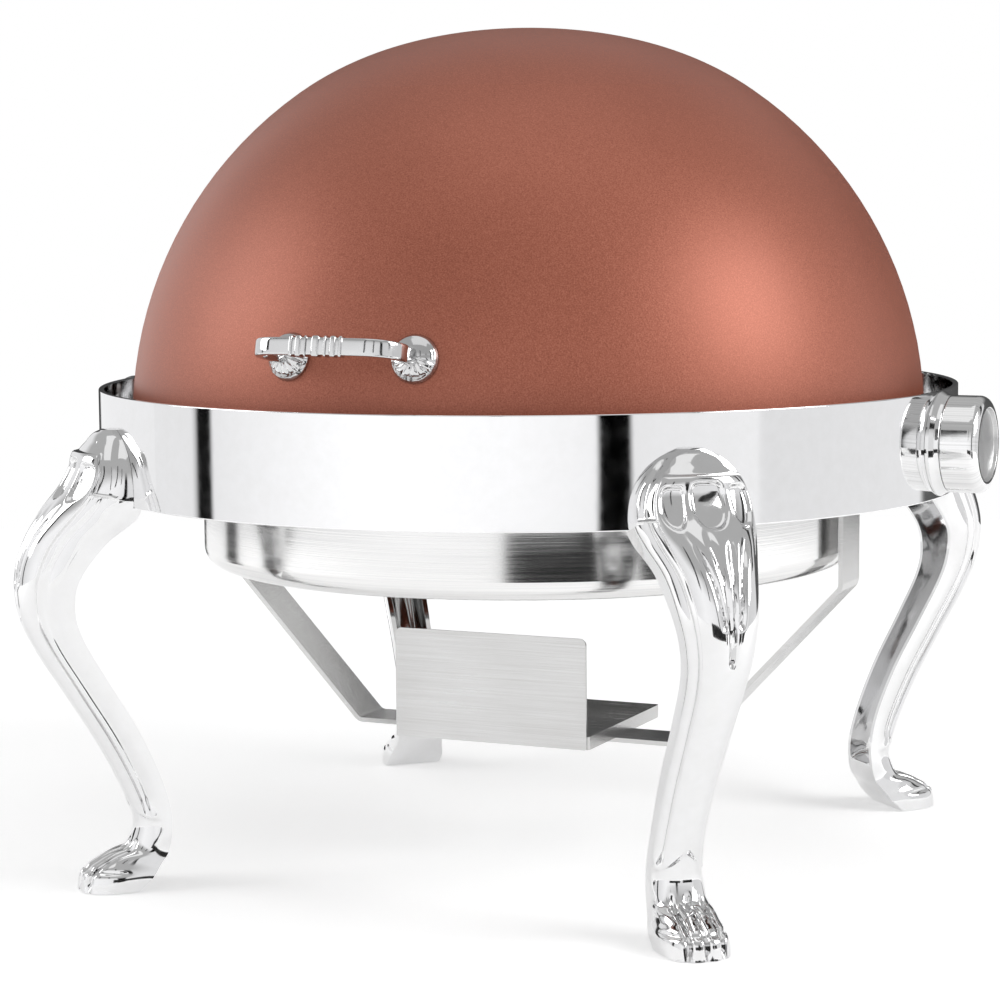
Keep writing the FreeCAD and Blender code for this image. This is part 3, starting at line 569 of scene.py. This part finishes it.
def bar_stations(span, dome_r):
    """(angle, reach) along the bow, from the left foot over both bends to the right foot."""
    low = BAR_REACH - BAR_BEND
    bend = math.degrees(BAR_BEND / (dome_r + BAR_REACH))
    left = [(-span, BAR_FOOT + (low - BAR_FOOT) * i / BAR_LEG_ROWS) for i in range(BAR_LEG_ROWS)]
    for i in range(BAR_BEND_ROWS + 1):
        turn = math.pi / 2 * i / BAR_BEND_ROWS
        left.append((-span + bend * (1 - math.cos(turn)), low + BAR_BEND * math.sin(turn)))
    start = span - bend
    bow = [(-start + 2 * start * i / BAR_BOW_ROWS, BAR_REACH) for i in range(1, BAR_BOW_ROWS)]
    return left + bow + [(-a, r) for a, r in reversed(left)]


def bar_mesh(centre, outs, dome_r):
    """The handle's bow: a bar with soft square edges and turned mouldings at its middle."""
    front = (outs[0] + outs[1]).normalized()
    across = (outs[1] - outs[0]).normalized()
    up = front.cross(across).normalized()
    if up.z < 0:
        up = -up
    span = math.degrees(outs[0].angle(outs[1])) / 2
    stations = bar_stations(span, dome_r)
    spots = []
    for angle, reach in stations:
        swing = math.radians(angle)
        out = front * math.cos(swing) + across * math.sin(swing)
        spots.append(centre + out * (dome_r + reach))
    bm = bmesh.new()
    rings = []
    for i, (spot, (angle, reach)) in enumerate(zip(spots, stations)):
        along = (spots[min(i + 1, len(spots) - 1)] - spots[max(i - 1, 0)]).normalized()
        thick = up.cross(along).normalized()
        proud = bead_height(angle) if reach == BAR_REACH else 0.0
        ring = []
        for j in range(4 * BAR_SIDE_POINTS):
            turn = 2 * math.pi * (j + 0.5) / (4 * BAR_SIDE_POINTS)
            c, n = math.cos(turn), math.sin(turn)
            a = math.copysign(abs(c) ** BAR_SQUARENESS, c) * (BAR_HALF_T + proud)
            b = math.copysign(abs(n) ** BAR_SQUARENESS, n) * (BAR_HALF_H + proud)
            ring.append(bm.verts.new(spot + thick * a + up * b))
        rings.append(ring)
    for low, high in zip(rings, rings[1:]):
        for j in range(len(low)):
            k = (j + 1) % len(low)
            bm.faces.new((low[j], low[k], high[k], high[j]))
    bm.faces.new(rings[0])
    bm.faces.new(list(reversed(rings[-1])))
    bmesh.ops.recalc_face_normals(bm, faces=bm.faces)
    mesh = bpy.data.meshes.new("handle_bow")
    bm.to_mesh(mesh)
    bm.free()
    return mesh


def add_handle_bar():
    low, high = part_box("lid_dome")
    centre = Vector((0, 0, DOME_CENTRE_Z))
    outs = []
    for name in ("left", "right"):
        a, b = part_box("handle_rosette_" + name)
        outs.append(((a + b) / 2 - centre).normalized())
    bow = show("handle_bow", bar_mesh(centre, outs, (high.x - low.x) / 2), HANDLE_CAST_PAINTED_DARK)
    bow.data.set_sharp_from_angle(angle=BAR_SHARP)
    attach(bow, "lid")
    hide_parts("handle_bar")


def azimuth_of(mount):
    x, y, _ = next(m["pos_m"] for m in record["mounts"] if m["name"] == mount)
    return math.atan2(y, x)


LEG_AZIMUTH = {name: azimuth_of("sole_" + name)
               for name in ("front_left", "front_right", "rear_left", "rear_right")}
add_legs()
add_rosettes()
add_handle_bar()


# ---- studio -------------------------------------------------------------------------------------
CAMERA_AZIMUTH = math.radians(23.98)


# Degrees to the right of the camera, and how bright the studio is there.
PANELS = ((-180, 0.06), (-161, 0.06), (-159, 0.95), (-96, 0.90), (-95, 0.005), (-90, 0.005),
          (-89, 0.92), (-40, 1.20), (-4, 1.12), (16.8, 1.02), (17.3, 0.0), (25.8, 0.0),
          (26.3, 0.92), (61, 0.98), (62, 0.84), (124, 0.90), (127, 0.12), (179, 0.06))
# The panels give way to an even grey between these two heights of a direction's unit vector.
PANELS_END, OVERHEAD_START = 0.30, 0.55
OVERHEAD = 0.52


def studio_world():
    """A pale studio with a few dark openings between its panels, which polished metal shows."""
    world = bpy.data.worlds.new("studio")
    bpy.context.scene.world = world
    world.use_nodes = True
    tree = world.node_tree
    tree.nodes.clear()
    out = tree.nodes.new("ShaderNodeOutputWorld")
    coords = tree.nodes.new("ShaderNodeTexCoord")
    split = tree.nodes.new("ShaderNodeSeparateXYZ")
    tree.links.new(coords.outputs["Generated"], split.inputs[0])
    turn = tree.nodes.new("ShaderNodeMath")
    turn.operation = "ARCTAN2"
    tree.links.new(split.outputs["Y"], turn.inputs[0])
    tree.links.new(split.outputs["X"], turn.inputs[1])
    scaled = tree.nodes.new("ShaderNodeMapRange")
    scaled.inputs["From Min"].default_value = -math.pi
    scaled.inputs["From Max"].default_value = math.pi
    tree.links.new(turn.outputs[0], scaled.inputs["Value"])
    ramp = tree.nodes.new("ShaderNodeValToRGB")
    ramp.color_ramp.interpolation = "LINEAR"
    front = math.degrees(CAMERA_AZIMUTH) - 90
    stops = sorted((((front + d + 180) % 360) / 360, b) for d, b in PANELS)
    ends = ramp.color_ramp.elements
    while len(ends) < len(stops):
        ends.new(0.5)
    for end, (where, bright) in zip(ends, stops):
        end.position = where
        end.color = (bright, bright, bright * 1.01, 1)
    tree.links.new(scaled.outputs["Result"], ramp.inputs["Fac"])
    low = tree.nodes.new("ShaderNodeMapRange")
    low.inputs["From Min"].default_value = PANELS_END
    low.inputs["From Max"].default_value = OVERHEAD_START
    tree.links.new(split.outputs["Z"], low.inputs["Value"])
    blend = tree.nodes.new("ShaderNodeMix")
    blend.data_type = "RGBA"
    blend.inputs["B"].default_value = (*tone(OVERHEAD), 1)
    tree.links.new(low.outputs["Result"], blend.inputs["Factor"])
    tree.links.new(ramp.outputs["Color"], blend.inputs["A"])
    around = tree.nodes.new("ShaderNodeBackground")
    around.inputs["Strength"].default_value = 1.0
    tree.links.new(blend.outputs["Result"], around.inputs["Color"])
    white = tree.nodes.new("ShaderNodeBackground")
    white.inputs["Color"].default_value = (1, 1, 1, 1)
    path = tree.nodes.new("ShaderNodeLightPath")
    choose = tree.nodes.new("ShaderNodeMixShader")
    tree.links.new(path.outputs["Is Camera Ray"], choose.inputs[0])
    tree.links.new(around.outputs[0], choose.inputs[1])
    tree.links.new(white.outputs[0], choose.inputs[2])
    tree.links.new(choose.outputs[0], out.inputs["Surface"])


LIGHTS_LOOK_AT = Vector((0, 0, 0.25))


def soft_light(name, turn, lift, distance, size, power):
    """A square area light, by its degrees right of the camera and above the table."""
    a = CAMERA_AZIMUTH + math.radians(turn)
    e = math.radians(lift)
    back = Vector((math.sin(a) * math.cos(e), -math.cos(a) * math.cos(e), math.sin(e)))
    data = bpy.data.lights.new(name, "AREA")
    data.size = size
    data.energy = power
    light = bpy.data.objects.new(name, data)
    bpy.context.scene.collection.objects.link(light)
    light.location = LIGHTS_LOOK_AT + back * distance
    light.rotation_mode = "QUATERNION"
    light.rotation_quaternion = back.to_track_quat("Z", "Y")


FLOOR_R = 1.55
# The floor glows a little more further out, so that its edge does not show against the world.
GLOW_FROM_R, GLOW_TO_R = 0.55, 1.25
GLOW_NEAR, GLOW_FAR = 0.28, 0.40


def floor():
    """A pale disc under the feet."""
    bm = bmesh.new()
    bmesh.ops.create_circle(bm, cap_ends=True, segments=128, radius=FLOOR_R)
    mesh = bpy.data.meshes.new("studio_floor")
    bm.to_mesh(mesh)
    bm.free()
    s = Shader("studio_floor").put(Roughness=0.75, Emission_Color=(1, 1, 1, 1))
    tint = s.noise(s.place, 3, 2.0)
    x, y, _ = s.split()
    glow = s.map_range(s.reach(x, y), GLOW_FROM_R, GLOW_TO_R, GLOW_NEAR, GLOW_FAR)
    s.link(glow, s.bsdf.inputs["Emission Strength"])
    s.link(s.ramp(tint, ((0.3, tone(0.93)), (0.7, tone(0.95)))), s.bsdf.inputs["Base Color"])
    piece = bpy.data.objects.new("studio_floor", mesh)
    piece.location = (0, 0, -0.5 * MM)
    bpy.context.scene.collection.objects.link(piece)
    mesh.materials.append(s.material)


FLAG_STEPS = 12


def flag(name, turn_from, turn_to, distance, bottom, top):
    """A curved black card, seen only in reflections. Its angles are degrees right of the camera."""
    bm = bmesh.new()
    rows = []
    for i in range(FLAG_STEPS + 1):
        a = CAMERA_AZIMUTH + math.radians(turn_from + (turn_to - turn_from) * i / FLAG_STEPS)
        x, y = distance * math.sin(a), -distance * math.cos(a)
        rows.append((bm.verts.new((x, y, bottom)), bm.verts.new((x, y, top))))
    for (a, b), (c, d) in zip(rows, rows[1:]):
        bm.faces.new((a, c, d, b))
    mesh = bpy.data.meshes.new(name)
    bm.to_mesh(mesh)
    bm.free()
    piece = bpy.data.objects.new(name, mesh)
    bpy.context.scene.collection.objects.link(piece)
    mesh.materials.append(BLACK_CARD)
    piece.visible_camera = False
    piece.visible_diffuse = False
    piece.visible_shadow = False


CAMERA_DISTANCE = 1.48616
CAMERA_HEIGHT = 0.3543
CAMERA_LOOK = CAMERA_AZIMUTH + math.radians(0.592)
CAMERA_PITCH = math.radians(6.367)
CAMERA_ROLL = math.radians(0.453)


def camera():
    forward = Vector((-math.sin(CAMERA_LOOK) * math.cos(CAMERA_PITCH),
                      math.cos(CAMERA_LOOK) * math.cos(CAMERA_PITCH), -math.sin(CAMERA_PITCH)))
    data = bpy.data.cameras.new("camera")
    data.lens = 99.86
    data.sensor_width = 36.0
    data.clip_start, data.clip_end = 0.05, 50.0
    view = bpy.data.objects.new("camera", data)
    view.location = (CAMERA_DISTANCE * math.sin(CAMERA_AZIMUTH),
                     -CAMERA_DISTANCE * math.cos(CAMERA_AZIMUTH), CAMERA_HEIGHT)
    view.rotation_mode = "QUATERNION"
    level = forward.to_track_quat("-Z", "Y")
    view.rotation_quaternion = Quaternion(forward, CAMERA_ROLL) @ level
    bpy.context.scene.collection.objects.link(view)
    bpy.context.scene.camera = view


studio_world()
soft_light("left_softbox", -88, 24, 1.9, 1.0, 9.5)
soft_light("right_softbox", 66, 27, 1.9, 0.95, 17)
soft_light("top_softbox", 0, 82, 2.0, 1.6, 4)
BLACK_CARD = moulded("black_card", (0.004, 0.004, 0.004), (0.008, 0.008, 0.008), 0.8, 0.9, 60)
flag("flag_front", -7, 29, 0.74, 0.02, 0.128)
flag("flag_front_right", 33, 46, 0.74, 0.0, 0.128)
flag("flag_left", -119, -110, 0.74, 0.0, 0.135)
flag("flag_back", 150, 210, 0.95, 0.0, 0.13)
TALL_FLAGS = ((-70, -63), (-34, -30), (-9, -6), (39, 44), (98, 106))
for number, (turn_from, turn_to) in enumerate(TALL_FLAGS):
    flag("flag_tall_%d" % number, turn_from, turn_to, 1.25, 0.50, 1.15)
floor()
camera()
bpy.context.scene.view_settings.view_transform = "Standard"
